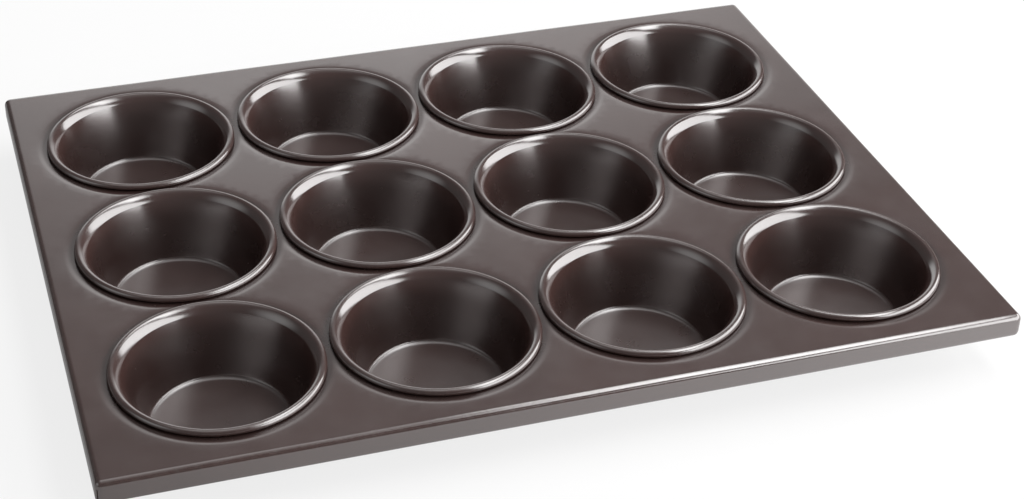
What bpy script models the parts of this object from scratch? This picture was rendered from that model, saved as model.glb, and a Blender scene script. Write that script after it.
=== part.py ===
"""Muffin pan: twelve deep-drawn cups, each crimped by its curled rim into one folded, wire-edged sheet.

Lengths are in metres and +Z is up. The long side runs along X and the front is at -Y. The origin is the
middle of the plane that the cup floors stand on.
"""

import math

import bmesh
import bpy
from mathutils import Matrix

# Metal, and the clearance left between pieces that touch
SHEET_GAUGE = 0.0008
CUP_GAUGE = 0.0006
CLEARANCE = 0.0003

# Layout
COLUMNS = 4
ROW_NAMES = ("front", "middle", "back")
RIM_SPACING = 0.003  # between the rims of neighbouring cups
BORDER = 0.0126  # from the outermost rims to the outer faces of the pan

# Cup
RIM_RADIUS = 0.03975  # outside of the curled rim
FLOOR_RADIUS = 0.0265  # inside, where the wall would meet the floor if the corner were sharp
CUP_DEPTH = 0.0273  # inside, from the top of the rim to the floor
FLOOR_CORNER = 0.003  # inside radius between wall and floor
SHOULDER_BEND = 0.0034  # radius on the underside of the shoulder
CURL_BORE = 0.0004  # radius inside the curl
CURL_WRAP = math.radians(45)  # how far below level the curl ends

# Frame sheet
COLLAR_HEIGHT = 0.00055  # upturned edge of each hole, at its inner side
BEND_BORE = 0.0016  # inside radius of the bend along the edges
SKIRT_HEIGHT = 0.0098  # from the top of the sheet to the bottom of the hem
HEM_RETURN = 0.003  # straight part of the hem's inner leg
CORNER_RADIUS = 0.0026  # outside, seen from above
LEAST_CORNER = 0.0003  # where a corner inside the hem would come to a point
SEAM_WIDTH = 0.0004  # slit between two hems at a corner
SEAM_START = 0.0006  # from the end of the bend down to the top of the slit

# Edge wire, closed in by the hem
WIRE_RADIUS = 0.0012
WIRE_BEND = 0.0015  # at its centre line
WIRE_JOINT = 0.001  # between its two ends, at the middle of the back edge

# Facets
CUP_SIDES = 28
FLOOR_CORNER_STEPS = 2
SHOULDER_STEPS = 4
CURL_STEPS = 3
UNDERSIDE_STEPS = 2
PLAN_CORNER_STEPS = 3
BEND_STEPS = 4
HEM_STEPS = 6
WIRE_ROUNDNESS = 2
SHARP_ANGLE = math.radians(40)

# Finishes: colour, roughness, metallic
COATING_FINISH = ((0.17, 0.143, 0.135), 0.3, 0.8)
WIRE_FINISH = ((0.5, 0.5, 0.51), 0.4, 1.0)

# Sizes that follow from those above
CURL_RADIUS = CURL_BORE + CUP_GAUGE
SHOULDER_RADIUS = SHOULDER_BEND + CUP_GAUGE
CREST_RADIUS = RIM_RADIUS - CURL_RADIUS  # circle along the top of the rim
RIM_HEIGHT = CLEARANCE + CURL_RADIUS * (1 + math.sin(CURL_WRAP))  # above the sheet
RIM_TOP = CUP_GAUGE + CUP_DEPTH
SHEET_TOP = RIM_TOP - RIM_HEIGHT
SHEET_UNDERSIDE = SHEET_TOP - SHEET_GAUGE
PITCH = 2 * RIM_RADIUS + RIM_SPACING
HALF_LENGTH = (COLUMNS - 1) / 2 * PITCH + RIM_RADIUS + BORDER
HALF_WIDTH = (len(ROW_NAMES) - 1) / 2 * PITCH + RIM_RADIUS + BORDER
BEND_RADIUS = BEND_BORE + SHEET_GAUGE
HEM_BORE = WIRE_RADIUS + CLEARANCE
HEM_RADIUS = HEM_BORE + SHEET_GAUGE
HEM_AXIS = SHEET_TOP - SKIRT_HEIGHT + HEM_RADIUS  # height of the hem's lower bend and of the wire in it

UP = math.radians(90)
DOWN = math.radians(-90)
OUTWARD = 0.0
INWARD = math.radians(180)
FULL_TURN = math.radians(360)


def arc(centre, radius, start, end, steps):
    """Points along an arc, both ends included."""
    angles = [start + (end - start) * i / steps for i in range(steps + 1)]
    return [(centre[0] + radius * math.cos(a), centre[1] + radius * math.sin(a)) for a in angles]


def wall_slope():
    """Angle of the cup's wall above level: it starts at the floor corner and touches the shoulder's arc."""
    run = CREST_RADIUS - FLOOR_RADIUS
    rise = CUP_DEPTH - SHOULDER_RADIUS
    return math.atan2(rise, run) + math.asin(SHOULDER_RADIUS / math.hypot(run, rise))


def cup_profile():
    """Half section of a cup as (radius, height), from inside its floor over the rim to its underside."""
    slope = wall_slope()
    corner = (FLOOR_RADIUS - FLOOR_CORNER * math.tan(slope / 2), CUP_GAUGE + FLOOR_CORNER)
    shoulder = (CREST_RADIUS, RIM_TOP - SHOULDER_RADIUS)
    curl = (CREST_RADIUS, RIM_TOP - CURL_RADIUS)
    inside = arc(corner, FLOOR_CORNER, DOWN, DOWN + slope, FLOOR_CORNER_STEPS)
    inside += arc(shoulder, SHOULDER_RADIUS, UP + slope, UP, SHOULDER_STEPS)
    inside += arc(curl, CURL_RADIUS, UP, -CURL_WRAP, CURL_STEPS)[1:]
    outside = arc(curl, CURL_BORE, -CURL_WRAP, UP, UNDERSIDE_STEPS)
    outside += arc(shoulder, SHOULDER_BEND, UP, UP + slope, UNDERSIDE_STEPS)[1:]
    outside += arc(corner, FLOOR_CORNER + CUP_GAUGE, DOWN + slope, DOWN, FLOOR_CORNER_STEPS)
    return [(0.0, CUP_GAUGE)] + inside + outside + [(0.0, 0.0)]


def under_shoulder(radius):
    """Height that clears the underside of a cup's shoulder at this radius."""
    reach = SHOULDER_BEND - CLEARANCE
    return RIM_TOP - SHOULDER_RADIUS + math.sqrt(reach**2 - (CREST_RADIUS - radius) ** 2)


def collar_section():
    """Section of a hole's upturned collar as (radius, height), from the sheet's top over to its underside."""
    reach = SHOULDER_BEND - CLEARANCE
    rise = SHEET_TOP + COLLAR_HEIGHT - (RIM_TOP - SHOULDER_RADIUS)
    hole = CREST_RADIUS - math.sqrt(reach**2 - rise**2)
    outer = hole + SHEET_GAUGE
    return [
        (outer, SHEET_TOP),
        (outer, under_shoulder(outer)),
        (hole, under_shoulder(hole)),
        (hole, SHEET_UNDERSIDE),
    ]


def edge_section():
    """Section of the folded edge as (inset, height), from the sheet's top over the hem to its underside."""
    bend = (BEND_RADIUS, SHEET_TOP - BEND_RADIUS)
    hem = (HEM_RADIUS, HEM_AXIS)
    leg_top = HEM_AXIS + HEM_RETURN
    section = arc(bend, BEND_RADIUS, UP, INWARD, BEND_STEPS)
    section += arc(hem, HEM_RADIUS, INWARD, FULL_TURN, HEM_STEPS)
    section += [(2 * HEM_RADIUS, leg_top), (HEM_RADIUS + HEM_BORE, leg_top)]
    section += arc(hem, HEM_BORE, FULL_TURN, INWARD, HEM_STEPS)
    section += arc(bend, BEND_BORE, INWARD, UP, BEND_STEPS)
    return section


def rounded_rectangle(inset, radius):
    """The pan's outline moved in by the inset, anticlockwise from the right end of the front edge."""
    reach_x = HALF_LENGTH - inset - radius
    reach_y = HALF_WIDTH - inset - radius
    corners = [(reach_x, -reach_y), (reach_x, reach_y), (-reach_x, reach_y), (-reach_x, -reach_y)]
    points = []
    for turn, corner in enumerate(corners):
        start = DOWN + turn * UP
        points += arc(corner, radius, start, start + UP, PLAN_CORNER_STEPS)
    return points


def circle(centre, radius):
    """Points of a circle with the same facets as a cup."""
    return arc(centre, radius, OUTWARD, FULL_TURN, CUP_SIDES)[:-1]


def cup_places():
    """Name and centre of each cup."""
    places = {}
    for row, row_name in enumerate(ROW_NAMES):
        for column in range(COLUMNS):
            x = (column - (COLUMNS - 1) / 2) * PITCH
            y = (row - (len(ROW_NAMES) - 1) / 2) * PITCH
            places[f"cup_{row_name}_{column + 1}"] = (x, y)
    return places


def material(name, finish):
    """A Principled material."""
    colour, roughness, metallic = finish
    made = bpy.data.materials.new(name)
    made.use_nodes = True
    shader = made.node_tree.nodes["Principled BSDF"]
    shader.inputs["Base Color"].default_value = (*colour, 1.0)
    shader.inputs["Roughness"].default_value = roughness
    shader.inputs["Metallic"].default_value = metallic
    return made


def finished_mesh(name, bm, surface):
    """The mesh with its faces turned out, round parts shaded smooth and its material."""
    bmesh.ops.recalc_face_normals(bm, faces=bm.faces)
    mesh = bpy.data.meshes.new(name)
    bm.to_mesh(mesh)
    bm.free()
    mesh.shade_smooth()
    mesh.set_sharp_from_angle(angle=SHARP_ANGLE)
    mesh.materials.append(surface)
    return mesh


def add_object(name, data, parent, location=(0.0, 0.0, 0.0)):
    """A named object under the pan's empty."""
    added = bpy.data.objects.new(name, data)
    bpy.context.scene.collection.objects.link(added)
    added.parent = parent
    added.location = location
    return added


def add_ring(bm, points, height):
    """Vertices at one height."""
    return [bm.verts.new((x, y, height)) for x, y in points]


def join_rings(bm, first, second):
    """Faces between two rings of as many vertices."""
    for i in range(len(first)):
        j = (i + 1) % len(first)
        bm.faces.new((first[i], first[j], second[j], second[i]))


def ring_edges(bm, ring):
    """Edges of a ring that faces already join."""
    return [bm.edges.get((ring[i - 1], ring[i])) for i in range(len(ring))]


def cup_mesh(surface):
    """One cup, turned from its half section."""
    bm = bmesh.new()
    profile = [bm.verts.new((radius, 0.0, height)) for radius, height in cup_profile()]
    edges = [bm.edges.new(pair) for pair in zip(profile, profile[1:])]
    bmesh.ops.spin(
        bm, geom=profile + edges, cent=(0, 0, 0), axis=(0, 0, 1), angle=FULL_TURN, steps=CUP_SIDES
    )
    bmesh.ops.remove_doubles(bm, verts=bm.verts, dist=1e-6)
    return finished_mesh("cup", bm, surface)


def frame_sheet_mesh(surface):
    """The sheet: folded edge, flat top and underside, and a collar at each hole."""
    bm = bmesh.new()
    edge_rings = []
    for inset, height in edge_section():
        outline = rounded_rectangle(inset, max(CORNER_RADIUS - inset, LEAST_CORNER))
        edge_rings.append(add_ring(bm, outline, height))
    for first, second in zip(edge_rings, edge_rings[1:]):
        join_rings(bm, first, second)
    top_edges = ring_edges(bm, edge_rings[0])
    underside_edges = ring_edges(bm, edge_rings[-1])
    for centre in cup_places().values():
        rings = [add_ring(bm, circle(centre, radius), height) for radius, height in collar_section()]
        for first, second in zip(rings, rings[1:]):
            join_rings(bm, first, second)
        top_edges += ring_edges(bm, rings[0])
        underside_edges += ring_edges(bm, rings[-1])
    for edges in (top_edges, underside_edges):
        bmesh.ops.triangle_fill(bm, edges=edges, use_beauty=True, normal=(0, 0, 1))
    return finished_mesh("frame_sheet", bm, surface)


def seam_cutter_mesh():
    """Four upright slabs on the corners' diagonals, from the seams' top to below the hem."""
    bm = bmesh.new()
    top = SHEET_TOP - BEND_RADIUS - SEAM_START
    bottom = HEM_AXIS - 2 * HEM_RADIUS
    length = 6 * HEM_RADIUS  # past both faces of the hem
    for side_x in (-1, 1):
        for side_y in (-1, 1):
            x = side_x * (HALF_LENGTH - HEM_RADIUS)
            y = side_y * (HALF_WIDTH - HEM_RADIUS)
            place = Matrix.Translation((x, y, (top + bottom) / 2))
            place = place @ Matrix.Rotation(side_x * side_y * UP / 2, 4, "Z")
            place = place @ Matrix.Diagonal((length, SEAM_WIDTH, top - bottom, 1.0))
            bmesh.ops.create_cube(bm, size=1.0, matrix=place)
    mesh = bpy.data.meshes.new("seam_cutter")
    bm.to_mesh(mesh)
    bm.free()
    return mesh


def edge_wire_curve(surface):
    """The wire: an open rectangle with rounded corners, round in section, closed at both ends."""
    corners = rounded_rectangle(HEM_RADIUS, WIRE_BEND)
    half = len(corners) // 2
    back_y = HALF_WIDTH - HEM_RADIUS
    joint = WIRE_JOINT / 2
    route = [(-joint, back_y)] + corners[half:] + corners[:half] + [(joint, back_y)]
    curve = bpy.data.curves.new("edge_wire", "CURVE")
    curve.dimensions = "3D"
    curve.bevel_depth = WIRE_RADIUS
    curve.bevel_resolution = WIRE_ROUNDNESS
    curve.use_fill_caps = True
    spline = curve.splines.new("POLY")
    spline.points.add(len(route) - 1)
    for point, (x, y) in zip(spline.points, route):
        point.co = (x, y, 0.0, 1.0)
    curve.materials.append(surface)
    return curve


def build():
    """Clears the scene and adds the pan's pieces."""
    for old in list(bpy.data.objects):
        bpy.data.objects.remove(old)
    pan = add_object("muffin_pan", None, None)

    sheet = add_object("frame_sheet", frame_sheet_mesh(material("sheet_coating", COATING_FINISH)), pan)
    cutter = add_object("seam_cutter", seam_cutter_mesh(), pan)
    cutter.hide_render = True
    cutter.display_type = "WIRE"
    seams = sheet.modifiers.new("corner_seams", "BOOLEAN")
    seams.operation = "DIFFERENCE"
    seams.solver = "EXACT"
    seams.object = cutter

    wire = edge_wire_curve(material("wire_steel", WIRE_FINISH))
    add_object("edge_wire", wire, pan, (0.0, 0.0, HEM_AXIS))

    cup = cup_mesh(material("cup_coating", COATING_FINISH))
    for name, (x, y) in cup_places().items():
        add_object(name, cup, pan, (x, y, 0.0))


build()
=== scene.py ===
"""Muffin pan for a still picture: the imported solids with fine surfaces, finishes, a studio and a camera.

Twelve drawn cups are turned from one half section, and one folded sheet holds them by their curled rims.
Lengths are in metres, +Z is up, the long side runs along X and the front is at -Y.
"""

import math

import bmesh
import bpy
from bpy.props import FloatProperty, FloatVectorProperty, IntProperty, PointerProperty
from mathutils import Matrix, Quaternion, Vector, noise
from mathutils.geometry import delaunay_2d_cdt


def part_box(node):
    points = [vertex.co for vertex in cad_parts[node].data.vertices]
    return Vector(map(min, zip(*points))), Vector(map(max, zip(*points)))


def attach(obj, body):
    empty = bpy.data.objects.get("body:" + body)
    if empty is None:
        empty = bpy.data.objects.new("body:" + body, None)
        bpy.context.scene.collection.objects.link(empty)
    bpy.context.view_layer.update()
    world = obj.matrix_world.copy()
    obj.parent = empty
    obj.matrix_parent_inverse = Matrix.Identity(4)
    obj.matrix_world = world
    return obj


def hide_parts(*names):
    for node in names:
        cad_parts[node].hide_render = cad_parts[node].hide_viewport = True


bl_info = {
    "name": "Muffin Pan",
    "version": (1, 0, 0),
    "blender": (4, 5, 0),
    "location": "3D View > Sidebar > Muffin Pan",
    "description": "Builds a coated steel muffin pan and the studio that it stands in",
    "category": "Object",
}

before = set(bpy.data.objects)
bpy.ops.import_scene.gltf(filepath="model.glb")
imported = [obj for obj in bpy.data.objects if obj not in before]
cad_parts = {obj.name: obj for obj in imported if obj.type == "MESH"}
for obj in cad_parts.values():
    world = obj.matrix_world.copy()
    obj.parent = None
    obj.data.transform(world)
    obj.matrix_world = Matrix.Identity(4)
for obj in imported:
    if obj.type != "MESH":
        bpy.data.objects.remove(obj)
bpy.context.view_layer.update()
CUP_NODES = sorted(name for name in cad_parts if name.startswith("cup_"))
SHEET_LOW, SHEET_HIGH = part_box("frame_sheet")
CUP_LOW, CUP_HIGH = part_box(CUP_NODES[0])

UP = math.radians(90)
DOWN = math.radians(-90)
INWARD = math.radians(180)
FULL_TURN = math.radians(360)

# Attributes that the coating reads: where it is worn thin, and where painted shade makes it dark and dull
WEAR = "wear"
PAINTED_SHADE = "shade"
RIM_WEAR_DEPTH = 0.0005  # below the top of a rim, where its wear ends
BEND_WEAR_SPREAD = 1.6  # above 1 the worn band on the bend is wider and has a sharper end
HEM_WEAR = 0.5
LEG_WEAR = 0.3
# Painted shade on the walls inside the cups
SHADE_TOP = 0.9  # share of the rim's height below which a wall darkens
SHADE_FADE = 0.3  # share of the rim's height over which it does
# Painted shadow in the crease beside each rim on the sheet
CREASE = 0.0014  # width of the dark line beside a rim, and of its soft end

# What wear and painted shade do to the coating
WEAR_ROUGHER = 0.08
SHADE_ROUGHER = 0.09
SHADE_DARKER = 0.25
FLOOR_EDGE = (0.0008, 0.0018)  # heights between which a cup's floor gives way to its wall

# Patterns in the finishes. A larger scale makes a finer pattern, and most of a noise lies within its spread.
NOISE_SPREAD = (0.3, 0.7)
TONE_SCALE = 26.0
TONE = (0.9, 1.1)  # darkest and palest
FLAKE_SCALE = 2600.0
FLAKE_EDGE = (0.6, 0.74)  # noise between which a flake fades in
FLAKE_STRENGTH = 0.35
RUB_SCALE = 420.0
RUB_EDGE = (0.5, 0.8)
RUB_STRENGTH = 0.4
CLOUD_SCALE = 60.0
CLOUD = 0.035  # how much smoother and rougher the coating is in its clouds
WIRE_DULL_SCALE = 90.0
WIRE_TONE = (0.8, 1.1)
WIRE_LINE_SCALE = 160.0
WIRE_LINE_STRETCH = (1.0, 1.0, 40.0)  # finer upwards than along the wire
WIRE_LINE_DEPTH = 0.00002
WIRE_ROUGHNESS = (0.3, 0.5)
MOTTLE_SCALE = 6.0
MOTTLE = (0.99, 1.01)

# Facets along the half section of a cup
FLOOR_STEPS = 8
FLOOR_CORNER_STEPS = 10
WALL_STEPS = 10
RIM_STEPS = (12, 12, 5)  # crest, shoulder and neck
CURL_STEPS = 16
CURL_BORE_STEPS = 8
UNDER_RIM_STEPS = (8, 8, 4)
UNDER_WALL_STEPS = 4
UNDER_CORNER_STEPS = 8
BASE_STEPS = 4
WELD = 0.000002  # vertices as close as this are one
CUP_SHARP = math.radians(50)  # an edge that turns by more stays sharp

# Facets of the sheet
BEND_STEPS = 14
SKIRT_STEPS = 4
HEM_STEPS = 20
HEM_BORE_STEPS = 14
BEND_BORE_STEPS = 8
COLLAR_STEPS = 6
CORNER_STEPS = 8
SIDE_STEPS = (46, 60, 46, 60)  # right, back, left and front
LEAST_CORNER = 0.0003  # radius of a corner inside the hem, which would else come to a point
SHEET_SHARP = math.radians(35)  # an edge that turns by more stays sharp

# Points over the flat of the sheet: rings round the holes, and a square grid
RINGS = 9
RING_SPACING = 0.0007
RING_GAP = 0.0004  # a ring's point is this much nearer to its own cup than to the next
GRID_SPACING = 0.004
EDGE_MARGIN = 0.0012
HOLE_MARGIN = 0.0006
DIP_START = 0.0006  # inside the outermost line of a rim
WAVE_SLICE = 0.37  # height in the noise at which the slow waves are read
ALL_TRIANGLES = 0  # what the triangulation gives back
SAME_POINT = 1e-7  # and the distance within which it joins two points

# Slabs that cut the corner seams
SEAM_REACH = 6  # their length in hem radii
SEAM_OVERRUN = 0.001  # below the hem

# Places of the colour sockets on a Mix node
MIX_FACTOR = 0
MIX_FIRST = 6
MIX_SECOND = 7
MIX_RESULT = 2

# Lamps. The key aims at the pan's middle, the other two face straight down, and a face is (width, height).
LAMP_POWER = 4.0  # watts that give a square metre of a lamp's face a radiance of 1
KEY_DISTANCE = 2.0
KEY_FACE = (3.6, 1.45)
TOP_PLACE = Vector((0.95, 0.05, 2.0))
TOP_FACE = (0.8, 2.6)
FRONT_PLACE = Vector((0.52, -0.3, 1.0))
FRONT_FACE = (0.36, 0.8)

# Floor. In reflections its plain white is dimmer on the left of the pan and brighter on the right, a painted
# reflection of the key's light from the right.
FLOOR_REACH = 3.0
FLOOR_PARTS = 8
FLOOR_DROP = 0.0001  # below the cups
FLOOR_ROUGHNESS = 0.8
FLOOR_WHITE = 0.8  # share of plain white in what the camera and reflections see of it
PAINTED_GLOW = (-0.6, 0.35)  # added to a strength of 1 on the left and on the right
PAINTED_GLOW_REACH = 0.18  # from the pan's middle to where each is full

# Brightness of the dim studio round the pan, and its soft pale patches. A patch has the heading of its
# middle (from +Y towards +X), its height above the horizon, how far from its middle it starts to fade and
# how far from it it is gone, all in degrees, and its brightness.
DIM_STUDIO = 0.115
PALE_PATCHES = (
    (12, 5, 20, 32, 1.2),
    (26, 36, 12, 30, 0.12),
    (0, 90, 12, 38, 0.3),
    (10, 72, 8, 22, 0.6),
    (-98, 24, 6, 32, 0.65),
)


# Sizes and colours


def length(name, description, default):
    """A size in metres."""
    return FloatProperty(
        name=name, description=description, default=default, min=0.0, precision=5, unit="LENGTH"
    )


def colour(name, description, default):
    """A colour."""
    return FloatVectorProperty(
        name=name, description=description, default=default, min=0.0, max=1.0, subtype="COLOR"
    )


def angle(name, description, degrees):
    """An angle."""
    return FloatProperty(name=name, description=description, default=math.radians(degrees), subtype="ANGLE")


def share(name, description, default):
    """A number from 0 to 1."""
    return FloatProperty(
        name=name, description=description, default=default, min=0.0, max=1.0, subtype="FACTOR"
    )


def amount(name, description, default):
    """A number that isn't negative."""
    return FloatProperty(name=name, description=description, default=default, min=0.0)


class CupSizes(bpy.types.PropertyGroup):
    """Sizes of one drawn cup."""

    rim_radius: length("Rim radius", "Outside of the curled rim", (CUP_HIGH.x - CUP_LOW.x) / 2)
    rim_top: length("Rim top", "Height of the rim above the surface that the pan stands on", CUP_HIGH.z)
    gauge: length("Gauge", "Thickness of the metal", 0.0006)
    floor_radius: length("Floor radius", "Flat part of the floor, inside", 0.0249)
    floor_corner: length("Floor corner", "Inside radius between wall and floor", 0.0022)
    crest_bend: length("Crest bend", "Radius of the rim's crest on its inner side", 0.0019)
    crest_turn: angle("Crest turn", "Steepness where the crest runs out into the shoulder", 40)
    shoulder_bend: length("Shoulder bend", "Radius of the shoulder, seen from above", 0.0086)
    shoulder_turn: angle("Shoulder turn", "Steepness where the shoulder ends", 62)
    neck_bend: length("Neck bend", "Radius between the shoulder and the wall", 0.0008)
    curl_bore: length("Curl bore", "Radius inside the curl", 0.0009)
    curl_wrap: angle("Curl wrap", "How far below level the curl ends", 10)
    sides: IntProperty(name="Sides", description="Facets round the cup", default=112, min=12)


class SheetSizes(bpy.types.PropertyGroup):
    """Sizes of the folded sheet."""

    gauge: length("Gauge", "Thickness of the metal", 0.0008)
    top: length("Top", "Height of the flat top", 0.0258929)
    hole_radius: length("Hole radius", "Inside of the upturned collar", 0.03698)
    collar_bend: length("Collar bend", "Radius on the underside where the collar turns up", 0.001)
    collar_gap: length("Collar gap", "From the collar's top to the shoulder that it holds", 0.0003)
    bend_radius: length("Bend radius", "Outside of the bend along the edges", 0.0024)
    flat_strip: length("Flat strip", "Level strip next to the bend", 0.0005)
    hem_radius: length("Hem radius", "Outside of the lower bend round the wire", 0.0023)
    hem_return: length("Hem return", "Straight part of the hem's inner leg", 0.003)
    corner_radius: length("Corner radius", "Outside, seen from above", 0.0026)
    seam_width: length("Seam width", "Slit between two hems at a corner", 0.0004)
    seam_start: length("Seam start", "From the end of the bend down to the slit", 0.0006)
    dip: length("Dip", "How far crimping draws the sheet down round a rim", 0.0004)
    dip_reach: length("Dip reach", "How far from the curl the dip runs out", 0.0055)
    ripple: length("Ripple", "Height of the slow waves in the sheet", 0.00012)
    ripple_length: length("Ripple length", "From wave to wave", 0.055)


class FinishChoices(bpy.types.PropertyGroup):
    """Colours and gloss of the finishes."""

    coating: colour("Coating", "Colour of the non-stick coating", (0.05, 0.025, 0.022))
    fleck: colour("Fleck", "Colour of the pale flakes in the coating", (0.1, 0.075, 0.062))
    worn: colour("Worn", "Colour where the coating lies thin", (0.1, 0.085, 0.078))
    roughness: share("Roughness", "Roughness of the coating", 0.17)
    floor_roughness: share("Floor roughness", "Roughness at the floors of the cups", 0.3)
    # Painted shade: metal with the dark coating colour dims the reflections on the cups' walls and in the
    # creases beside the rims
    painted_shade_metal: share("Wall metal", "Dark metal flake in the coating on the walls of the cups", 0.36)
    sheet_gloss: amount("Sheet gloss", "Refractive index of the sheet's coating", 2.4)
    cup_gloss: amount("Cup gloss", "Refractive index of the cups' coating", 2.35)
    peel: length("Peel", "Size of the coating's fine waves", 0.0012)
    sheet_peel: length("Sheet peel", "Height of the fine waves on the sheet", 0.000006)
    cup_peel: length("Cup peel", "Height of the fine waves on the cups", 0.000005)
    steel: colour("Steel", "Colour of the drawn wire", (0.5, 0.5, 0.51))


class StudioSetup(bpy.types.PropertyGroup):
    """Camera, lamps and floor."""

    azimuth: angle("Azimuth", "Heading of the camera, from +Y towards +X", 17.568)
    elevation: angle("Elevation", "How far the camera looks down", 32.405)
    roll: angle("Roll", "Turn of the camera about its own axis", 1.0335)
    distance: length("Distance", "From the camera to the point that it aims at", 0.8287)
    lens: FloatProperty(
        name="Lens", description="Focal length in millimetres", default=70.374, min=1.0, unit="CAMERA"
    )
    aim: FloatVectorProperty(
        name="Aim",
        description="Point that the camera aims at",
        default=(-0.00684, 0.00928, 0.0258929),
        subtype="XYZ",
        unit="LENGTH",
    )
    shift: FloatVectorProperty(
        name="Shift",
        description="Share of the width that the frame is shifted",
        size=2,
        default=(0.0586, -0.0586),
    )
    floor: colour("Floor", "Colour of the floor", (0.86, 0.86, 0.86))
    key: amount("Key", "Radiance of the softbox on the right", 3.25)
    key_heading: angle("Key heading", "Heading of the softbox, from +Y towards +X", 110)
    key_height: angle("Key height", "Height of the softbox above the horizon", 25.5)
    key_roll: angle("Key roll", "Turn of the softbox about its own axis", 5)
    top: amount("Top", "Radiance of the softbox overhead", 2.9)
    front: amount("Front", "Radiance of the softbox beside the camera", 1.8)


# Shapes shared by the pieces


def arc(centre, radius, start, end, steps):
    """Points along an arc, both ends included."""
    angles = [start + (end - start) * i / steps for i in range(steps + 1)]
    return [(centre[0] + radius * math.cos(a), centre[1] + radius * math.sin(a)) for a in angles]


def between(first, last, parts):
    """Points that divide a straight stretch, both ends left out."""
    shares = [i / parts for i in range(1, parts)]
    return [(first[0] + (last[0] - first[0]) * s, first[1] + (last[1] - first[1]) * s) for s in shares]


def smooth_step(value):
    """0 to 1 with level ends."""
    value = min(max(value, 0.0), 1.0)
    return value * value * (3.0 - 2.0 * value)


def cup_centre(node):
    """Middle of a cup's solid, on the plane that the pan stands on."""
    low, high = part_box(node)
    return Vector(((low.x + high.x) / 2, (low.y + high.y) / 2, 0.0))


def distance(centre, x, y):
    """From a cup's middle to a place, seen from above."""
    return math.hypot(x - centre.x, y - centre.y)


# Objects and meshes


def add_object(name, data):
    """An object in the scene's own collection."""
    made = bpy.data.objects.new(name, data)
    bpy.context.scene.collection.objects.link(made)
    return made


def add_piece(name, mesh, node):
    """An object that stands for a solid's node and rides on the pan's body."""
    piece = add_object(name, mesh)
    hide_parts(node)
    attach(piece, "root")


def built_mesh(name, bm):
    """A mesh with what was built. The working copy is freed."""
    mesh = bpy.data.meshes.new(name)
    bm.to_mesh(mesh)
    bm.free()
    return mesh


def evaluated_mesh(maker):
    """The maker's evaluated shape as a plain mesh with its faces turned out. The maker is removed."""
    bpy.context.view_layer.update()
    depsgraph = bpy.context.evaluated_depsgraph_get()
    shape = maker.evaluated_get(depsgraph)
    mesh = bpy.data.meshes.new_from_object(shape, preserve_all_data_layers=True, depsgraph=depsgraph)
    bm = bmesh.new()
    bm.from_mesh(mesh)
    bmesh.ops.recalc_face_normals(bm, faces=bm.faces)
    bm.to_mesh(mesh)
    bm.free()
    bpy.data.objects.remove(maker)
    return mesh


def set_inputs(modifier, values):
    """Sets a node modifier's inputs by their identifiers."""
    for item in modifier.node_group.interface.items_tree:
        if item.item_type == "SOCKET" and item.in_out == "INPUT" and item.name in values:
            modifier[item.identifier] = values[item.name]


# Node helpers


def add_node(tree, kind, inputs=None, **settings):
    """A node with its settings, and its inputs set or linked."""
    node = tree.nodes.new(kind)
    for name, value in settings.items():
        setattr(node, name, value)
    for key, value in (inputs or {}).items():
        if isinstance(value, bpy.types.NodeSocket):
            tree.links.new(value, node.inputs[key])
        else:
            node.inputs[key].default_value = value
    return node


def math_node(tree, operation, first, second=0.0, third=0.0):
    """Result of a Math node."""
    values = {0: first, 1: second, 2: third}
    return add_node(tree, "ShaderNodeMath", values, operation=operation).outputs[0]


def noise_node(tree, coordinates, scale, detail=2.0, roughness=0.5):
    """Value of a Noise Texture."""
    inputs = {"Vector": coordinates, "Scale": scale, "Detail": detail, "Roughness": roughness}
    return add_node(tree, "ShaderNodeTexNoise", inputs).outputs[0]


def range_node(tree, value, low, high, new_low, new_high, kind="LINEAR"):
    """A value mapped from one range to another."""
    inputs = {"Value": value, "From Min": low, "From Max": high, "To Min": new_low, "To Max": new_high}
    return add_node(tree, "ShaderNodeMapRange", inputs, interpolation_type=kind).outputs[0]


def mix_colour(tree, factor, first, second, blend="MIX"):
    """Two colours mixed."""
    inputs = {MIX_FACTOR: factor, MIX_FIRST: first, MIX_SECOND: second}
    node = add_node(tree, "ShaderNodeMix", inputs, data_type="RGBA", blend_type=blend)
    return node.outputs[MIX_RESULT]


def start_group(name, kind, inputs, outputs):
    """A node group with its sockets, and its two end nodes."""
    tree = bpy.data.node_groups.new(name, kind)
    for socket_name, socket_type in inputs:
        tree.interface.new_socket(socket_name, in_out="INPUT", socket_type=socket_type)
    for socket_name, socket_type in outputs:
        tree.interface.new_socket(socket_name, in_out="OUTPUT", socket_type=socket_type)
    return tree, tree.nodes.new("NodeGroupInput"), tree.nodes.new("NodeGroupOutput")


def start_material(name):
    """Node tree and shader of a new material."""
    made = bpy.data.materials.new(name)
    made.use_nodes = True
    return made.node_tree, made.node_tree.nodes["Principled BSDF"]


# Finishes


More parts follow.
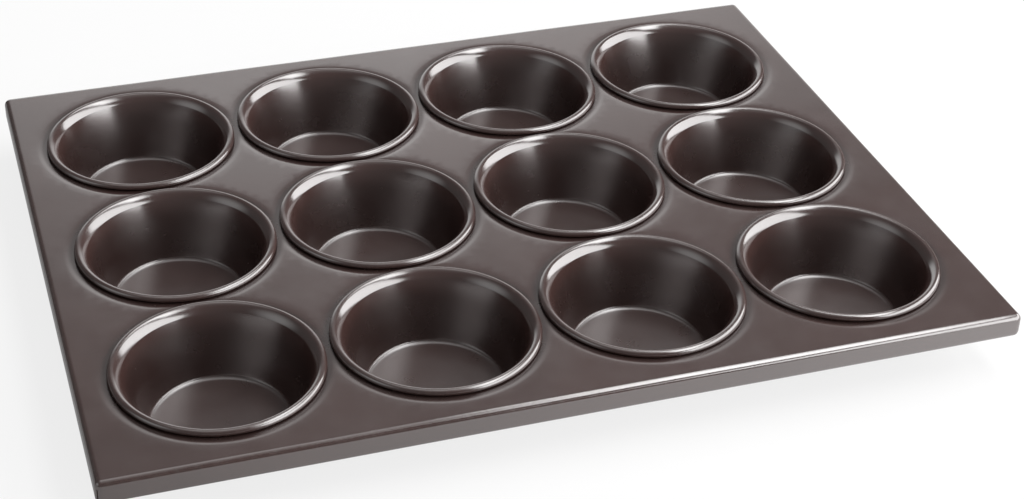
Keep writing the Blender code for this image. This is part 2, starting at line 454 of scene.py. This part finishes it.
def coating_group():
    """Colour, roughness and height of sprayed and baked coating, shared by the sheet and the cups, darkened
    as painted shade where the shade mask is 1.
    """
    tree, given, result = start_group(
        "baked_coating",
        "ShaderNodeTree",
        [
            ("Coordinates", "NodeSocketVector"),
            ("Coating", "NodeSocketColor"),
            ("Fleck", "NodeSocketColor"),
            ("Worn", "NodeSocketColor"),
            ("Roughness", "NodeSocketFloat"),
            ("Peel Scale", "NodeSocketFloat"),
            ("Wear", "NodeSocketFloat"),
            ("Shade", "NodeSocketFloat"),
        ],
        [("Color", "NodeSocketColor"), ("Roughness", "NodeSocketFloat"), ("Height", "NodeSocketFloat")],
    )
    place = given.outputs["Coordinates"]
    patches = noise_node(tree, place, scale=TONE_SCALE, detail=3.0, roughness=0.6)
    tone = range_node(tree, patches, *NOISE_SPREAD, *TONE)
    toned = mix_colour(tree, 1.0, given.outputs["Coating"], tone, "MULTIPLY")
    flakes = noise_node(tree, place, scale=FLAKE_SCALE, detail=1.0)
    flake_mask = range_node(tree, flakes, *FLAKE_EDGE, 0.0, FLAKE_STRENGTH)
    flecked = mix_colour(tree, flake_mask, toned, given.outputs["Fleck"])
    rub = noise_node(tree, place, scale=RUB_SCALE, detail=4.0, roughness=0.65)
    rubbed = range_node(tree, rub, *RUB_EDGE, 0.0, RUB_STRENGTH)
    worn_mask = math_node(tree, "MULTIPLY", rubbed, given.outputs["Wear"])
    worn = mix_colour(tree, worn_mask, flecked, given.outputs["Worn"])
    # Painted shade: the colour darkens and the coating turns rougher where the shade mask is 1
    darker = math_node(tree, "MULTIPLY_ADD", given.outputs["Shade"], -SHADE_DARKER, 1.0)
    shaded = mix_colour(tree, 1.0, worn, darker, "MULTIPLY")
    clouds = noise_node(tree, place, scale=CLOUD_SCALE, detail=4.0, roughness=0.6)
    uneven = range_node(tree, clouds, *NOISE_SPREAD, -CLOUD, CLOUD)
    rough = math_node(tree, "ADD", given.outputs["Roughness"], uneven)
    rough = math_node(tree, "MULTIPLY_ADD", worn_mask, WEAR_ROUGHER, rough)
    rough = math_node(tree, "MULTIPLY_ADD", given.outputs["Shade"], SHADE_ROUGHER, rough)
    peel = noise_node(tree, place, given.outputs["Peel Scale"], detail=1.5)
    tree.links.new(shaded, result.inputs["Color"])
    tree.links.new(rough, result.inputs["Roughness"])
    tree.links.new(peel, result.inputs["Height"])
    return tree


def coating_material(name, finish, gloss, peel_height, group):
    """Makes coated steel with the shared coating group."""
    tree, shader = start_material(name)
    shader.inputs["IOR"].default_value = gloss
    coordinates = add_node(tree, "ShaderNodeTexCoord").outputs["Object"]
    above_ground = add_node(tree, "ShaderNodeSeparateXYZ", {0: coordinates}).outputs["Z"]
    roughness = range_node(tree, above_ground, *FLOOR_EDGE, finish.floor_roughness, finish.roughness)
    wear = add_node(tree, "ShaderNodeAttribute", attribute_name=WEAR).outputs["Fac"]
    shade = add_node(tree, "ShaderNodeAttribute", attribute_name=PAINTED_SHADE).outputs["Fac"]
    coat = add_node(
        tree,
        "ShaderNodeGroup",
        {
            "Coordinates": coordinates,
            "Coating": (*finish.coating, 1.0),
            "Fleck": (*finish.fleck, 1.0),
            "Worn": (*finish.worn, 1.0),
            "Roughness": roughness,
            "Peel Scale": 1.0 / finish.peel,
            "Wear": wear,
            "Shade": shade,
        },
        node_tree=group,
    )
    peel = {"Height": coat.outputs["Height"], "Strength": 1.0, "Distance": peel_height}
    bump = add_node(tree, "ShaderNodeBump", peel)
    # Painted shade: metal where the shade mask is 1 dims the reflections of the walls and creases
    metal = math_node(tree, "MULTIPLY", shade, finish.painted_shade_metal)
    tree.links.new(coat.outputs["Color"], shader.inputs["Base Color"])
    tree.links.new(coat.outputs["Roughness"], shader.inputs["Roughness"])
    tree.links.new(metal, shader.inputs["Metallic"])
    tree.links.new(bump.outputs["Normal"], shader.inputs["Normal"])


def wire_material(finish):
    """Makes the steel of drawn wire, with fine lines along it and dull patches."""
    tree, shader = start_material("drawn_wire")
    shader.inputs["Metallic"].default_value = 1.0
    coordinates = add_node(tree, "ShaderNodeTexCoord").outputs["Object"]
    dull = noise_node(tree, coordinates, scale=WIRE_DULL_SCALE, detail=4.0, roughness=0.6)
    tone = range_node(tree, dull, *NOISE_SPREAD, *WIRE_TONE)
    steel = mix_colour(tree, 1.0, (*finish.steel, 1.0), tone, "MULTIPLY")
    stretched = add_node(tree, "ShaderNodeMapping", {"Vector": coordinates, "Scale": WIRE_LINE_STRETCH})
    lines = noise_node(tree, stretched.outputs[0], scale=WIRE_LINE_SCALE)
    rough = range_node(tree, lines, *NOISE_SPREAD, *WIRE_ROUGHNESS)
    drawn = {"Height": lines, "Strength": 0.4, "Distance": WIRE_LINE_DEPTH}
    bump = add_node(tree, "ShaderNodeBump", drawn)
    tree.links.new(steel, shader.inputs["Base Color"])
    tree.links.new(rough, shader.inputs["Roughness"])
    tree.links.new(bump.outputs["Normal"], shader.inputs["Normal"])


def floor_material(paint):
    """Makes pale matt paint with a faint mottle. The camera and reflections see it nearly white, and
    reflections see painted light, brighter on the right.
    """
    tree, shader = start_material("studio_floor")
    coordinates = add_node(tree, "ShaderNodeTexCoord").outputs["Object"]
    mottle = noise_node(tree, coordinates, scale=MOTTLE_SCALE, detail=3.0)
    tone = range_node(tree, mottle, *NOISE_SPREAD, *MOTTLE)
    tint = mix_colour(tree, 1.0, (*paint, 1.0), tone, "MULTIPLY")
    tree.links.new(tint, shader.inputs["Base Color"])
    shader.inputs["Roughness"].default_value = FLOOR_ROUGHNESS
    shader.inputs["Specular IOR Level"].default_value = 0.0
    path = add_node(tree, "ShaderNodeLightPath").outputs
    seen = math_node(tree, "ADD", path["Is Camera Ray"], path["Is Glossy Ray"])
    seen = math_node(tree, "ADD", seen, path["Is Transmission Ray"])
    whiteness = math_node(tree, "MULTIPLY", seen, FLOOR_WHITE)
    along = add_node(tree, "ShaderNodeSeparateXYZ", {0: coordinates}).outputs["X"]
    # Painted reflection: in reflections only, the floor glows more on the right and less on the left
    mirrored = range_node(tree, along, -PAINTED_GLOW_REACH, PAINTED_GLOW_REACH, *PAINTED_GLOW)
    strength = math_node(tree, "MULTIPLY_ADD", mirrored, path["Is Glossy Ray"], 1.0)
    white = add_node(tree, "ShaderNodeEmission", {"Color": (1.0, 1.0, 1.0, 1.0), "Strength": strength})
    both = add_node(tree, "ShaderNodeMixShader", {0: whiteness, 1: shader.outputs[0], 2: white.outputs[0]})
    tree.links.new(both.outputs[0], tree.nodes["Material Output"].inputs["Surface"])


# Cups


def on_arc(centre, radius, turn):
    """Point on the rim's inner side where the metal is as steep as the turn."""
    return centre[0] - radius * math.sin(turn), centre[1] + radius * math.cos(turn)


def rim_arcs(cup):
    """Arcs of the rim's inner side from its crest to the wall, as (centre, radius, first turn, last turn)."""
    crest = (cup.rim_radius - cup.curl_bore - cup.gauge, cup.rim_top)
    first = (crest[0], crest[1] - cup.crest_bend)
    end = on_arc(first, cup.crest_bend, cup.crest_turn)
    second = on_arc(end, -cup.shoulder_bend, cup.crest_turn)
    end = on_arc(second, cup.shoulder_bend, cup.shoulder_turn)
    third = on_arc(end, -cup.neck_bend, cup.shoulder_turn)
    run = third[0] - cup.floor_radius
    rise = third[1] - cup.gauge - cup.floor_corner
    slope = math.atan2(rise, run) + math.asin((cup.neck_bend + cup.floor_corner) / math.hypot(run, rise))
    return (
        (first, cup.crest_bend, 0.0, cup.crest_turn),
        (second, cup.shoulder_bend, cup.crest_turn, cup.shoulder_turn),
        (third, cup.neck_bend, cup.shoulder_turn, slope),
    )


def cup_section(cup):
    """Half section of a cup as (radius, height), from the inside of its floor to the underside."""
    arcs = rim_arcs(cup)
    slope = arcs[-1][3]
    crest = arcs[0][0][0]
    curl = (crest, cup.rim_top - cup.curl_bore - cup.gauge)
    corner = (cup.floor_radius, cup.gauge + cup.floor_corner)
    floor = [(corner[0] * i / FLOOR_STEPS, cup.gauge) for i in range(FLOOR_STEPS)]
    inside = arc(corner, cup.floor_corner, DOWN, DOWN + slope, FLOOR_CORNER_STEPS)
    over = []
    for (centre, radius, start, end), steps in zip(reversed(arcs), reversed(RIM_STEPS)):
        over += arc(centre, radius, UP + end, UP + start, steps)[:-1]
    wall = between(inside[-1], over[0], WALL_STEPS)
    over += arc(curl, cup.curl_bore + cup.gauge, UP, -cup.curl_wrap, CURL_STEPS)
    under = arc(curl, cup.curl_bore, -cup.curl_wrap, UP, CURL_BORE_STEPS)
    for (centre, radius, start, end), steps in zip(arcs, UNDER_RIM_STEPS):
        under += arc(centre, radius - cup.gauge, UP + start, UP + end, steps)[1:]
    outside = arc(corner, cup.floor_corner + cup.gauge, DOWN + slope, DOWN, UNDER_CORNER_STEPS)
    outer_wall = between(under[-1], outside[0], UNDER_WALL_STEPS)
    base = [(corner[0] * i / BASE_STEPS, 0.0) for i in reversed(range(BASE_STEPS))]
    return floor + inside + wall + over + under + outer_wall + outside + base


def rim_wear(cup, radius, height):
    """Wear is strongest on the crest of the rim, where pans rub when stacked."""
    if radius < cup.rim_radius - 2 * cup.crest_bend:
        return 0.0
    return smooth_step(1.0 - (cup.rim_top - height) / RIM_WEAR_DEPTH)


def cup_painted_shade(cup, height):
    """Painted shade inside the cup: 1 on the wall and 0 on the rim and the floor."""
    below_rim = smooth_step((SHADE_TOP * cup.rim_top - height) / (SHADE_FADE * cup.rim_top))
    return below_rim * smooth_step((height - cup.gauge) / cup.floor_corner)


def section_mesh(cup):
    """The half section as a run of edges, which the node tree turns."""
    section = cup_section(cup)
    mesh = bpy.data.meshes.new("cup_section")
    mesh.from_pydata([(r, 0.0, z) for r, z in section], [(i, i + 1) for i in range(len(section) - 1)], [])
    worn = mesh.attributes.new(WEAR, "FLOAT", "POINT")
    worn.data.foreach_set("value", [rim_wear(cup, r, z) for r, z in section])
    # Painted shade down the walls, which the coating darkens and dulls
    deep = mesh.attributes.new(PAINTED_SHADE, "FLOAT", "POINT")
    deep.data.foreach_set("value", [cup_painted_shade(cup, z) for _, z in section])
    return mesh


def turned_cup_tree():
    """Geometry Nodes tree that turns the section about the upright axis and moves it to its place."""
    tree, given, result = start_group(
        "turned_cup",
        "GeometryNodeTree",
        [
            ("Section", "NodeSocketGeometry"),
            ("Sides", "NodeSocketInt"),
            ("Place", "NodeSocketVector"),
            ("Finish", "NodeSocketMaterial"),
        ],
        [("Cup", "NodeSocketGeometry")],
    )
    section = given.outputs["Section"]
    sides = given.outputs["Sides"]
    size = add_node(tree, "GeometryNodeAttributeDomainSize", {"Geometry": section}, component="MESH")
    columns = math_node(tree, "ADD", sides, 1.0)
    grid = add_node(
        tree, "GeometryNodeMeshGrid", {"Vertices X": size.outputs["Point Count"], "Vertices Y": columns}
    )
    index = add_node(tree, "GeometryNodeInputIndex").outputs[0]
    ring = math_node(tree, "FLOOR", math_node(tree, "DIVIDE", math_node(tree, "ADD", index, 0.5), columns))
    column = math_node(tree, "SUBTRACT", index, math_node(tree, "MULTIPLY", ring, columns))
    turn = math_node(tree, "DIVIDE", math_node(tree, "MULTIPLY", column, FULL_TURN), sides)
    position = add_node(tree, "GeometryNodeInputPosition").outputs[0]
    point = add_node(
        tree,
        "GeometryNodeSampleIndex",
        {"Geometry": section, "Value": position, "Index": ring},
        data_type="FLOAT_VECTOR",
    )
    turned = add_node(
        tree, "ShaderNodeVectorRotate", {"Vector": point.outputs[0], "Angle": turn}, rotation_type="Z_AXIS"
    )
    placed = add_node(tree, "ShaderNodeVectorMath", {0: turned.outputs[0], 1: given.outputs["Place"]})
    shaped = add_node(
        tree, "GeometryNodeSetPosition", {"Geometry": grid.outputs["Mesh"], "Position": placed.outputs[0]}
    )
    marked = shaped
    for name in (WEAR, PAINTED_SHADE):
        mark = add_node(tree, "GeometryNodeInputNamedAttribute", {"Name": name}, data_type="FLOAT")
        here = add_node(
            tree,
            "GeometryNodeSampleIndex",
            {"Geometry": section, "Value": mark.outputs[0], "Index": ring},
            data_type="FLOAT",
        )
        marked = add_node(
            tree,
            "GeometryNodeStoreNamedAttribute",
            {"Geometry": marked.outputs[0], "Name": name, "Value": here.outputs[0]},
            data_type="FLOAT",
            domain="POINT",
        )
    mapped = add_node(
        tree,
        "GeometryNodeStoreNamedAttribute",
        {"Geometry": marked.outputs[0], "Name": "UVMap", "Value": grid.outputs["UV Map"]},
        data_type="FLOAT2",
        domain="CORNER",
    )
    welded = add_node(tree, "GeometryNodeMergeByDistance", {"Geometry": mapped.outputs[0], "Distance": WELD})
    smooth = add_node(tree, "GeometryNodeSetShadeSmooth", {"Geometry": welded.outputs[0]})
    real = add_node(tree, "GeometryNodeRealizeInstances", {"Geometry": smooth.outputs[0]})
    finished = add_node(
        tree, "GeometryNodeSetMaterial", {"Geometry": real.outputs[0], "Material": given.outputs["Finish"]}
    )
    tree.links.new(finished.outputs[0], result.inputs["Cup"])
    return tree


# Frame sheet


def rounded_outline(sheet, inset):
    """The pan's outline moved in by the inset, with the same number of points for every inset."""
    radius = max(sheet.corner_radius - inset, LEAST_CORNER)
    reach_x = SHEET_HIGH.x - inset - radius
    reach_y = SHEET_HIGH.y - inset - radius
    corners = [(reach_x, -reach_y), (reach_x, reach_y), (-reach_x, reach_y), (-reach_x, -reach_y)]
    outline = []
    for turn, (corner, steps) in enumerate(zip(corners, SIDE_STEPS)):
        heading = turn * UP
        bend = arc(corner, radius, DOWN + heading, heading, CORNER_STEPS)
        following = corners[(turn + 1) % 4]
        end = (following[0] + radius * math.cos(heading), following[1] + radius * math.sin(heading))
        outline += bend + between(bend[-1], end, steps)
    return outline


def edge_section(sheet):
    """Section of the folded edge as (inset, height, wear), from the top over the hem to the underside."""
    bend = (sheet.bend_radius, sheet.top - sheet.bend_radius)
    hem = (sheet.hem_radius, SHEET_LOW.z + sheet.hem_radius)
    bore = sheet.hem_radius - sheet.gauge
    leg_top = hem[1] + sheet.hem_return
    outer_bend = arc(bend, sheet.bend_radius, UP, INWARD, BEND_STEPS)
    outer_hem = arc(hem, sheet.hem_radius, INWARD, FULL_TURN, HEM_STEPS)
    inner_hem = arc(hem, bore, FULL_TURN, INWARD, HEM_BORE_STEPS)
    inner_bend = arc(bend, sheet.bend_radius - sheet.gauge, INWARD, UP, BEND_BORE_STEPS)
    section = [(sheet.bend_radius + sheet.flat_strip, sheet.top, 0.0)]
    for i, (x, z) in enumerate(outer_bend):
        section.append((x, z, smooth_step(BEND_WEAR_SPREAD * math.sin(i * INWARD / BEND_STEPS))))
    section += [(x, z, 0.0) for x, z in between(outer_bend[-1], outer_hem[0], SKIRT_STEPS)]
    for i, (x, z) in enumerate(outer_hem):
        section.append((x, z, HEM_WEAR * smooth_step(math.sin(i * INWARD / HEM_STEPS))))
    section.append((2 * sheet.hem_radius, leg_top, LEG_WEAR))
    section.append((2 * sheet.hem_radius - sheet.gauge, leg_top, LEG_WEAR))
    section += [(x, z, 0.0) for x, z in inner_hem + inner_bend]
    section.append((sheet.bend_radius + sheet.flat_strip, sheet.top - sheet.gauge, 0.0))
    return section


def collar_section(sheet, cup):
    """Section of a collar as (radius, height), from the sheet's top over it to the flat underside."""
    outer = sheet.hole_radius + sheet.gauge
    underside = sheet.top - sheet.gauge
    bend = (sheet.hole_radius + sheet.collar_bend, underside + sheet.collar_bend)
    across = (outer, outer - sheet.gauge / 2, sheet.hole_radius)
    top = [(radius, under_shoulder(sheet, cup, radius)) for radius in across]
    return [(outer, sheet.top)] + top + arc(bend, sheet.collar_bend, INWARD, INWARD + UP, COLLAR_STEPS)


def under_shoulder(sheet, cup, radius):
    """Height that clears the underside of a cup's shoulder at this radius."""
    for (middle, height), bend, start, end in rim_arcs(cup):
        turn = math.asin((middle - radius) / bend)
        if start <= turn <= end:
            reach = bend - cup.gauge - sheet.collar_gap
            return height + math.sqrt(reach**2 - (middle - radius) ** 2)
    raise ValueError("the collar stands outside the shoulder")


def sheet_offset(sheet, cup, centres, x, y):
    """How far the sheet lies above or below its flat top: dips round the rims and slow waves."""
    level = 1.0
    for centre in centres:
        away = distance(centre, x, y) - cup.rim_radius + DIP_START
        level *= smooth_step(away / sheet.dip_reach)
    wave = noise.noise(Vector((x, y, WAVE_SLICE)) / sheet.ripple_length)
    return sheet.ripple * wave - sheet.dip * (1.0 - level)


def sheet_painted_shade(cup, centres, x, y):
    """Painted shadow: 1 in the crease beside a rim and 0 away from it."""
    away = min(distance(centre, x, y) for centre in centres) - cup.rim_radius
    return 1.0 - smooth_step((away - CREASE) / CREASE)


def outside_of(centres, radius):
    """Test for a place outside all the circles of this radius."""
    return lambda x, y: all(distance(centre, x, y) > radius for centre in centres)


def ring_points(sheet, cup, centre, others):
    """Points on rings round a hole, as far as the holes next to it."""
    points = []
    for step in range(1, RINGS + 1):
        radius = sheet.hole_radius + sheet.gauge + RING_SPACING * step
        for x, y in arc(centre, radius, 0.0, FULL_TURN, cup.sides)[:-1]:
            if min(distance(other, x, y) for other in others) - distance(centre, x, y) > RING_GAP:
                points.append((x, y))
    return points


def grid_points(half_x, half_y, is_clear):
    """Points of a square grid where it is clear of the rings."""
    columns = range(int(-half_x / GRID_SPACING), int(half_x / GRID_SPACING) + 1)
    rows = range(int(-half_y / GRID_SPACING), int(half_y / GRID_SPACING) + 1)
    points = [(i * GRID_SPACING, j * GRID_SPACING) for i in columns for j in rows]
    return [(x, y) for x, y in points if is_clear(x, y)]


def flat_points(sheet, cup, centres, outline):
    """Extra points on the flat of the sheet: rings round the holes, and a grid over the rest."""
    half_x = max(x for x, _ in outline)
    half_y = max(y for _, y in outline)
    points = []
    for centre in centres:
        points += ring_points(sheet, cup, centre, [c for c in centres if c is not centre])
    ringed = sheet.hole_radius + sheet.gauge + RING_SPACING * (RINGS + 1)
    points += grid_points(half_x, half_y, outside_of(centres, ringed))
    return [(x, y) for x, y in points if abs(x) < half_x - EDGE_MARGIN and abs(y) < half_y - EDGE_MARGIN]


def add_ring(bm, points, height, worn, wear=0.0):
    """Vertices at one height, with their wear."""
    ring = []
    for x, y in points:
        vertex = bm.verts.new((x, y, height))
        vertex[worn] = wear
        ring.append(vertex)
    return ring


def join_rings(bm, rings):
    """Faces from each ring to the next. All have as many vertices."""
    for first, second in zip(rings, rings[1:]):
        for i in range(len(first)):
            j = (i + 1) % len(first)
            bm.faces.new((first[i], first[j], second[j], second[i]))


def fill_flat(bm, outer, holes, extra, height, worn, is_metal):
    """Triangles between the outline, the holes and the extra points, where there is metal."""
    rings = [outer] + holes
    vertices = [vertex for ring in rings for vertex in ring]
    edges = []
    start = 0
    for ring in rings:
        edges += [(start + i, start + (i + 1) % len(ring)) for i in range(len(ring))]
        start += len(ring)
    vertices += add_ring(bm, extra, height, worn)
    flat = [Vector((v.co.x, v.co.y)) for v in vertices]
    places, _, faces, origins, _, _ = delaunay_2d_cdt(flat, edges, [], ALL_TRIANGLES, SAME_POINT)
    for face in faces:
        middle = sum((places[i] for i in face), Vector((0.0, 0.0))) / len(face)
        if is_metal(middle.x, middle.y):
            bm.faces.new([vertices[origins[i][0]] for i in face])


def frame_sheet_mesh(sheet, cup, surface):
    """The folded sheet, with its flat top dipped and rippled, its collars and its hem."""
    centres = [cup_centre(node) for node in CUP_NODES]
    bm = bmesh.new()
    worn = bm.verts.layers.float.new(WEAR)
    shaded = bm.verts.layers.float.new(PAINTED_SHADE)
    edge = []
    for inset, height, wear in edge_section(sheet):
        edge.append(add_ring(bm, rounded_outline(sheet, inset), height, worn, wear))
    join_rings(bm, edge)
    collars = []
    for centre in centres:
        rings = []
        for radius, height in collar_section(sheet, cup):
            points = arc(centre, radius, 0.0, FULL_TURN, cup.sides)[:-1]
            rings.append(add_ring(bm, points, height, worn))
        join_rings(bm, rings)
        collars.append(rings)
    outline = rounded_outline(sheet, sheet.bend_radius + sheet.flat_strip)
    extra = flat_points(sheet, cup, centres, outline)
    holes = [rings[0] for rings in collars]
    top_metal = outside_of(centres, sheet.hole_radius + sheet.gauge)
    fill_flat(bm, edge[0], holes, extra, sheet.top, worn, top_metal)
    holes = [rings[-1] for rings in collars]
    under_radius = sheet.hole_radius + sheet.collar_bend
    is_clear = outside_of(centres, under_radius + HOLE_MARGIN)
    extra = [(x, y) for x, y in extra if is_clear(x, y)]
    under_metal = outside_of(centres, under_radius)
    fill_flat(bm, edge[-1], holes, extra, sheet.top - sheet.gauge, worn, under_metal)
    # Painted shadow beside the rims, then the dips and waves
    for vertex in bm.verts:
        vertex[shaded] = sheet_painted_shade(cup, centres, vertex.co.x, vertex.co.y)
        vertex.co.z += sheet_offset(sheet, cup, centres, vertex.co.x, vertex.co.y)
    bmesh.ops.recalc_face_normals(bm, faces=bm.faces)
    mesh = built_mesh("folded_sheet", bm)
    mesh.materials.append(surface)
    return mesh


def seam_cutter(sheet):
    """Four upright slabs on the corners' diagonals."""
    bm = bmesh.new()
    top = sheet.top - sheet.bend_radius - sheet.seam_start
    bottom = SHEET_LOW.z - SEAM_OVERRUN
    slab = Matrix.Diagonal((SEAM_REACH * sheet.hem_radius, sheet.seam_width, top - bottom, 1.0))
    for side_x in (-1, 1):
        for side_y in (-1, 1):
            x = side_x * (SHEET_HIGH.x - sheet.hem_radius)
            y = side_y * (SHEET_HIGH.y - sheet.hem_radius)
            place = Matrix.Translation((x, y, (top + bottom) / 2))
            turn = Matrix.Rotation(side_x * side_y * UP / 2, 4, "Z")
            bmesh.ops.create_cube(bm, size=1.0, matrix=place @ turn @ slab)
    return add_object("seam_cutter", built_mesh("seam_cutter", bm))


# Studio


def pointing(heading, height):
    """Unit vector with this heading (from +Y towards +X) and height above the horizon."""
    level = math.cos(height)
    return Vector((math.sin(heading) * level, math.cos(heading) * level, math.sin(height)))


def camera_axes(studio):
    """Position and turn of the camera."""
    heading, roll = studio.azimuth, studio.roll
    forward = pointing(heading, -studio.elevation)
    right = Vector((math.cos(heading), -math.sin(heading), 0.0))
    up = right.cross(forward)
    rolled_right = math.cos(roll) * right + math.sin(roll) * up
    rolled_up = math.cos(roll) * up - math.sin(roll) * right
    turn = Matrix((rolled_right, rolled_up, -forward)).transposed()
    return Vector(studio.aim) - forward * studio.distance, turn


def add_camera(studio):
    """The camera, as the photograph was taken."""
    data = bpy.data.cameras.new("studio_camera")
    data.sensor_width = 36.0
    data.lens = studio.lens
    data.shift_x, data.shift_y = studio.shift
    data.clip_start = 0.01
    camera = add_object("studio_camera", data)
    place, turn = camera_axes(studio)
    camera.matrix_world = Matrix.Translation(place) @ turn.to_4x4()
    bpy.context.scene.camera = camera


def add_softbox(name, place, towards, face, radiance, roll=0.0):
    """A rectangular lamp that shines one way, with an even radiance over its face."""
    width, height = face
    data = bpy.data.lights.new(name, "AREA")
    data.shape = "RECTANGLE"
    data.size = width
    data.size_y = height
    data.energy = LAMP_POWER * radiance * width * height
    lamp = add_object(name, data)
    lamp.location = place
    lamp.rotation_mode = "QUATERNION"
    lamp.rotation_quaternion = towards.to_track_quat("-Z", "Y") @ Quaternion((0.0, 0.0, 1.0), roll)


def add_world():
    """Soft surroundings: a dim studio with pale patches."""
    world = bpy.data.worlds.new("studio_surroundings")
    bpy.context.scene.world = world
    world.use_nodes = True
    tree = world.node_tree
    direction = add_node(tree, "ShaderNodeTexCoord").outputs["Generated"]
    total = DIM_STUDIO
    for *angles, level in PALE_PATCHES:
        heading, height, full, gone = (math.radians(degrees) for degrees in angles)
        middle = {0: direction, 1: pointing(heading, height)}
        towards = add_node(tree, "ShaderNodeVectorMath", middle, operation="DOT_PRODUCT")
        away = math_node(tree, "ARCCOSINE", towards.outputs["Value"])
        patch = range_node(tree, away, full, gone, level, 0.0, "SMOOTHSTEP")
        total = math_node(tree, "ADD", patch, total)
    grey = add_node(tree, "ShaderNodeCombineColor", {0: total, 1: total, 2: total})
    tree.links.new(grey.outputs[0], tree.nodes["Background"].inputs["Color"])


def add_floor(studio):
    """A wide pale floor under the cups."""
    bm = bmesh.new()
    place = Matrix.Translation((0.0, 0.0, -FLOOR_DROP))
    bmesh.ops.create_grid(
        bm, x_segments=FLOOR_PARTS, y_segments=FLOOR_PARTS, size=FLOOR_REACH, matrix=place
    )
    mesh = built_mesh("studio_floor", bm)
    floor_material(studio.floor)
    mesh.materials.append(bpy.data.materials["studio_floor"])
    floor = add_object("studio_floor", mesh)


# Operators


def choices():
    """The sizes and colours that the panel shows."""
    return bpy.context.scene.muffin_pan


class PanChoices(bpy.types.PropertyGroup):
    """All sizes and colours of the pan and its studio."""

    cup: PointerProperty(name="Cup", description="Sizes of one drawn cup", type=CupSizes)
    sheet: PointerProperty(name="Sheet", description="Sizes of the folded sheet", type=SheetSizes)
    finish: PointerProperty(name="Finish", description="Colours and gloss", type=FinishChoices)
    studio: PointerProperty(name="Studio", description="Camera, lamps and floor", type=StudioSetup)


class MUFFINPAN_OT_finishes(bpy.types.Operator):
    """Make the coating and wire finishes"""

    bl_idname = "muffin_pan.finishes"
    bl_label = "Finishes"

    def execute(self, context):
        finish = choices().finish
        group = coating_group()
        coating_material("coated_sheet", finish, finish.sheet_gloss, finish.sheet_peel, group)
        coating_material("coated_cup", finish, finish.cup_gloss, finish.cup_peel, group)
        wire_material(finish)
        return {"FINISHED"}


class MUFFINPAN_OT_frame_sheet(bpy.types.Operator):
    """Build the folded sheet with its collars and hem"""

    bl_idname = "muffin_pan.frame_sheet"
    bl_label = "Frame sheet"

    def execute(self, context):
        sizes = choices()
        mesh = frame_sheet_mesh(sizes.sheet, sizes.cup, bpy.data.materials["coated_sheet"])
        maker = add_object("folded_sheet_maker", mesh)
        cutter = seam_cutter(sizes.sheet)
        seams = maker.modifiers.new("corner_seams", "BOOLEAN")
        seams.operation = "DIFFERENCE"
        seams.solver = "EXACT"
        seams.object = cutter
        finished = evaluated_mesh(maker)
        bpy.data.objects.remove(cutter)
        finished.shade_smooth()
        finished.set_sharp_from_angle(angle=SHEET_SHARP)
        add_piece("folded_sheet", finished, "frame_sheet")
        return {"FINISHED"}


class MUFFINPAN_OT_cups(bpy.types.Operator):
    """Turn the twelve cups and set them in the sheet"""

    bl_idname = "muffin_pan.cups"
    bl_label = "Cups"

    def execute(self, context):
        cup = choices().cup
        tree = turned_cup_tree()
        section = section_mesh(cup)
        surface = bpy.data.materials["coated_cup"]
        for node in CUP_NODES:
            maker = add_object("cup_maker", section)
            modifier = maker.modifiers.new("turned_cup", "NODES")
            modifier.node_group = tree
            set_inputs(modifier, {"Sides": cup.sides, "Place": cup_centre(node), "Finish": surface})
            finished = evaluated_mesh(maker)
            finished.set_sharp_from_angle(angle=CUP_SHARP)
            add_piece("turned_" + node, finished, node)
        return {"FINISHED"}


class MUFFINPAN_OT_edge_wire(bpy.types.Operator):
    """Give the wire in the hem its drawn steel"""

    bl_idname = "muffin_pan.edge_wire"
    bl_label = "Edge wire"

    def execute(self, context):
        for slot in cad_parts["edge_wire"].material_slots:
            slot.material = bpy.data.materials["drawn_wire"]
        return {"FINISHED"}


class MUFFINPAN_OT_studio(bpy.types.Operator):
    """Set up the floor, the soft lamps and the camera"""

    bl_idname = "muffin_pan.studio"
    bl_label = "Studio"

    def execute(self, context):
        studio = choices().studio
        add_floor(studio)
        add_world()
        key_place = KEY_DISTANCE * pointing(studio.key_heading, studio.key_height)
        straight_down = Vector((0.0, 0.0, -1.0))
        add_softbox("key_softbox", key_place, -key_place, KEY_FACE, studio.key, studio.key_roll)
        add_softbox("top_softbox", TOP_PLACE, straight_down, TOP_FACE, studio.top)
        add_softbox("front_softbox", FRONT_PLACE, straight_down, FRONT_FACE, studio.front)
        add_camera(studio)
        context.scene.view_settings.view_transform = "Standard"
        return {"FINISHED"}


class MUFFINPAN_PT_panel(bpy.types.Panel):
    """Lists the pan's pieces, sizes and finishes"""

    bl_idname = "MUFFINPAN_PT_panel"
    bl_label = "Muffin Pan"
    bl_space_type = "VIEW_3D"
    bl_region_type = "UI"
    bl_category = "Muffin Pan"

    def draw(self, context):
        for group in (choices().cup, choices().sheet, choices().finish, choices().studio):
            box = self.layout.box()
            for name in group.bl_rna.properties.keys():
                if name not in ("rna_type", "name"):
                    box.prop(group, name)
        for step in STEPS:
            self.layout.operator(step.bl_idname)


STEPS = (
    MUFFINPAN_OT_finishes,
    MUFFINPAN_OT_frame_sheet,
    MUFFINPAN_OT_cups,
    MUFFINPAN_OT_edge_wire,
    MUFFINPAN_OT_studio,
)
CLASSES = (CupSizes, SheetSizes, FinishChoices, StudioSetup, PanChoices, *STEPS, MUFFINPAN_PT_panel)


def register():
    """Adds the classes and the scene's choices."""
    for entry in CLASSES:
        bpy.utils.register_class(entry)
    bpy.types.Scene.muffin_pan = PointerProperty(type=PanChoices)


def unregister():
    """Takes them away again."""
    del bpy.types.Scene.muffin_pan
    for entry in reversed(CLASSES):
        bpy.utils.unregister_class(entry)


def main():
    """Builds the pan and its studio."""
    register()
    bpy.ops.muffin_pan.finishes()
    bpy.ops.muffin_pan.frame_sheet()
    bpy.ops.muffin_pan.cups()
    bpy.ops.muffin_pan.edge_wire()
    bpy.ops.muffin_pan.studio()


if __name__ == "__main__":
    main()
